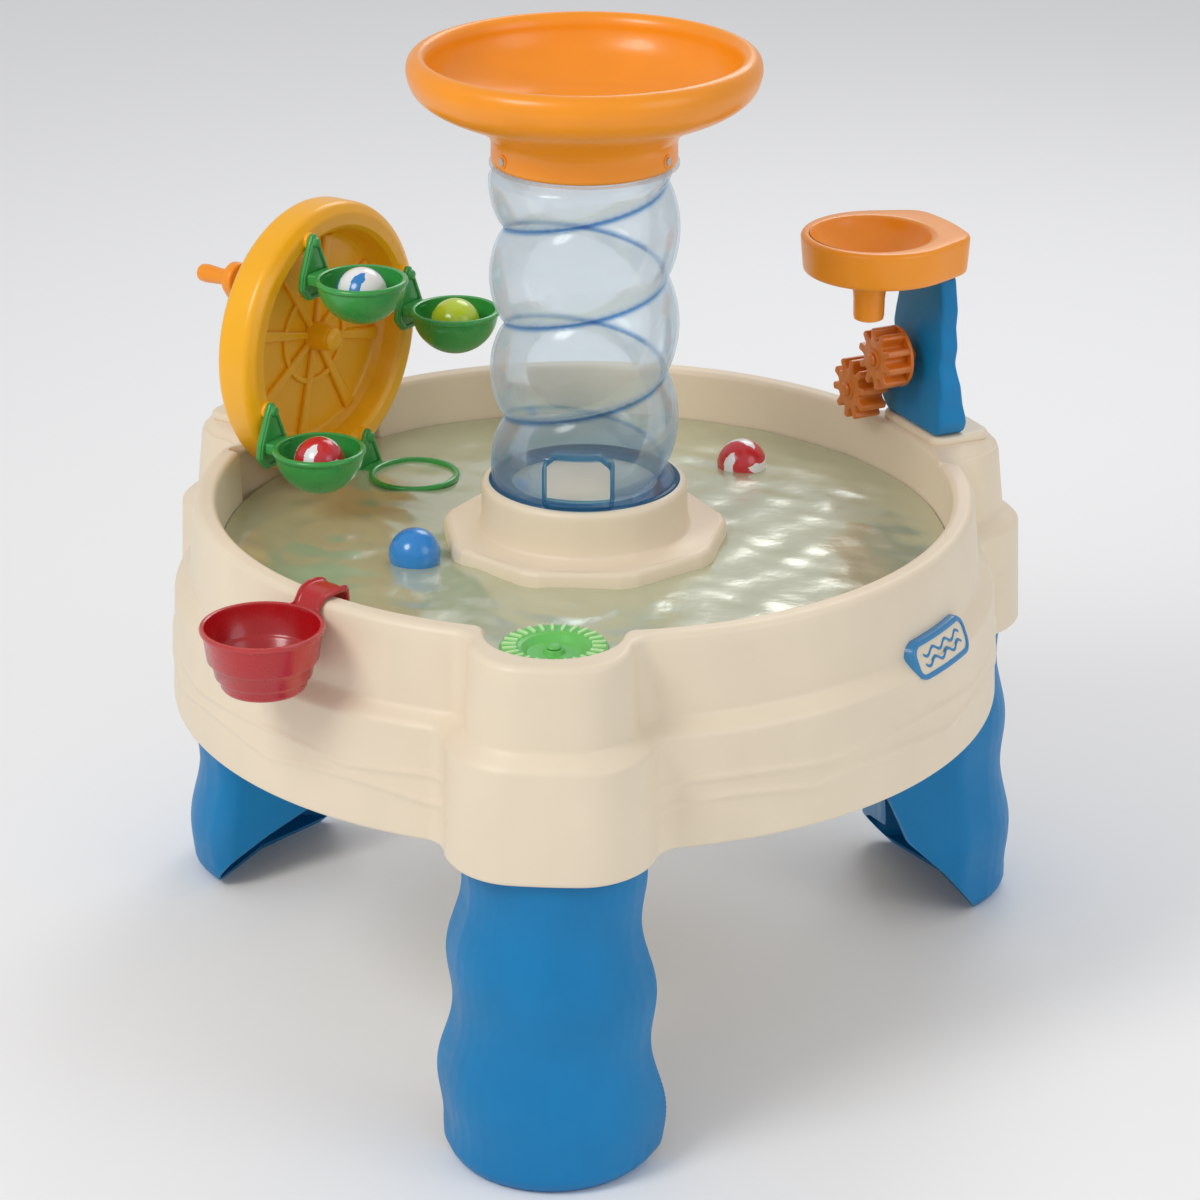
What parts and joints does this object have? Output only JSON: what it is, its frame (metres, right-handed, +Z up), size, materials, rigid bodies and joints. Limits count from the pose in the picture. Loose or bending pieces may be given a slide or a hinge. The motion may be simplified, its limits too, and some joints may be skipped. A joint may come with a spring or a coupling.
{
  "type": "sand and water table",
  "caption": "Children's round outdoor water play table on legs with a fill funnel over a spiral tower, a cranked cup wheel, a small funnel over paddle wheels, a spinner and a hanging scoop.",
  "frame": {"origin": "centre of the footprint box on the floor, between the feet", "axes": "+Z up, along the tower; -Y towards the front lobe with the spinner; the cup wheel is at the back left, the small funnel at the back right"},
  "size_m": [0.871, 0.8901, 0.94],
  "materials": {
    "basin": "satin moulded, fine grain",
    "leg": "satin moulded",
    "screw": "bright zinc",
    "tube": "clear tinted plastic",
    "wheel": "gloss moulded",
    "cup_red": "gloss moulded",
    "orange": "gloss moulded",
    "green": "gloss moulded",
    "ball_white": "gloss",
    "ball_green": "gloss",
    "ball_red": "gloss",
    "ball_blue": "gloss",
    "badge": "printed label, satin",
    "rubber": "matt"
  },
  "bodies": {
    "table": {"basin": "basin", "leg_front": "leg", "leg_right": "leg", "leg_left": "leg", "leg_screws": "screw", "tower_tube": "tube", "tower_door": "tube", "funnel_large": "orange", "funnel_screws": "screw", "wheel_post": "leg", "funnel_post": "leg", "funnel_small": "orange", "paddle_pins": "leg", "spinner_pin": "green", "badge": "badge"},
    "picture_wheel": {"wheel_dish": "wheel", "wheel_axle": "screw", "wheel_hub_cap": "wheel", "wheel_crank": "orange", "gondola_pins": "green"},
    "gondola_1": {"gondola_1": "green"},
    "gondola_2": {"gondola_2": "green"},
    "gondola_3": {"gondola_3": "green"},
    "gondola_4": {"gondola_4": "green"},
    "ball_white": {"ball_white": "ball_white"},
    "ball_green": {"ball_green": "ball_green"},
    "ball_red": {"ball_red": "ball_red"},
    "ball_blue": {"ball_blue": "ball_blue"},
    "ball_pink": {"ball_pink": "ball_red"},
    "paddle_upper": {"paddle_upper": "orange"},
    "paddle_lower": {"paddle_lower": "orange"},
    "spinner": {"spinner": "green"},
    "scoop": {"scoop": "cup_red"},
    "drain_plug": {"drain_plug": "rubber"}
  },
  "joints": [
    {"name": "ferris_spin", "type": "hinge", "parent": "table", "child": "picture_wheel", "pos_m": [-0.27713, 0.20007, 0.6], "axis": [-0.866, 0.5, 0], "continuous": true},
    {"name": "gondola_1_swing", "type": "hinge", "parent": "picture_wheel", "child": "gondola_1", "pos_m": [-0.27697, 0.15334, 0.71406], "axis": [-0.866, 0.5, 0], "continuous": true},
    {"name": "gondola_2_swing", "type": "hinge", "parent": "picture_wheel", "child": "gondola_2", "pos_m": [-0.19975, 0.2871, 0.64039], "axis": [-0.866, 0.5, 0], "continuous": true},
    {"name": "gondola_3_swing", "type": "hinge", "parent": "picture_wheel", "child": "gondola_3", "pos_m": [-0.31381, 0.08954, 0.55961], "axis": [-0.866, 0.5, 0], "continuous": true},
    {"name": "gondola_4_swing", "type": "hinge", "parent": "picture_wheel", "child": "gondola_4", "pos_m": [-0.23658, 0.2233, 0.48594], "axis": [-0.866, 0.5, 0], "continuous": true},
    {"name": "ball_white_lift", "type": "slide", "parent": "gondola_1", "child": "ball_white", "axis": [0, 0, 1], "range_m": [0, 0.045]},
    {"name": "ball_green_lift", "type": "slide", "parent": "gondola_2", "child": "ball_green", "axis": [0, 0, 1], "range_m": [0, 0.045]},
    {"name": "ball_red_lift", "type": "slide", "parent": "gondola_3", "child": "ball_red", "axis": [0, 0, 1], "range_m": [0, 0.045]},
    {"name": "ball_blue_lift", "type": "slide", "parent": "table", "child": "ball_blue", "axis": [0, 0, 1], "range_m": [0, 0.12]},
    {"name": "ball_pink_lift", "type": "slide", "parent": "table", "child": "ball_pink", "axis": [0, 0, 1], "range_m": [0, 0.12]},
    {"name": "paddle_upper_spin", "type": "hinge", "parent": "table", "child": "paddle_upper", "pos_m": [0.29445, 0.21007, 0.59], "axis": [0.866, 0.5, 0], "continuous": true},
    {"name": "paddle_lower_spin", "type": "hinge", "parent": "table", "child": "paddle_lower", "pos_m": [0.26945, 0.25337, 0.543], "axis": [0.866, 0.5, 0], "continuous": true},
    {"name": "spinner_spin", "type": "hinge", "parent": "table", "child": "spinner", "pos_m": [0, -0.31993, 0.488], "axis": [0, 0, 1], "continuous": true},
    {"name": "scoop_lift", "type": "slide", "parent": "table", "child": "scoop", "axis": [0, 0, 1], "range_m": [0, 0.12]},
    {"name": "drain_plug_pull", "type": "slide", "parent": "table", "child": "drain_plug", "axis": [0, 0, -1], "range_m": [0, 0.04]}
  ],
  "couplings": [
    {"joint": "gondola_1_swing", "follows": "ferris_spin", "ratio": -1},
    {"joint": "gondola_2_swing", "follows": "ferris_spin", "ratio": -1},
    {"joint": "gondola_3_swing", "follows": "ferris_spin", "ratio": -1},
    {"joint": "gondola_4_swing", "follows": "ferris_spin", "ratio": -1}
  ]
}
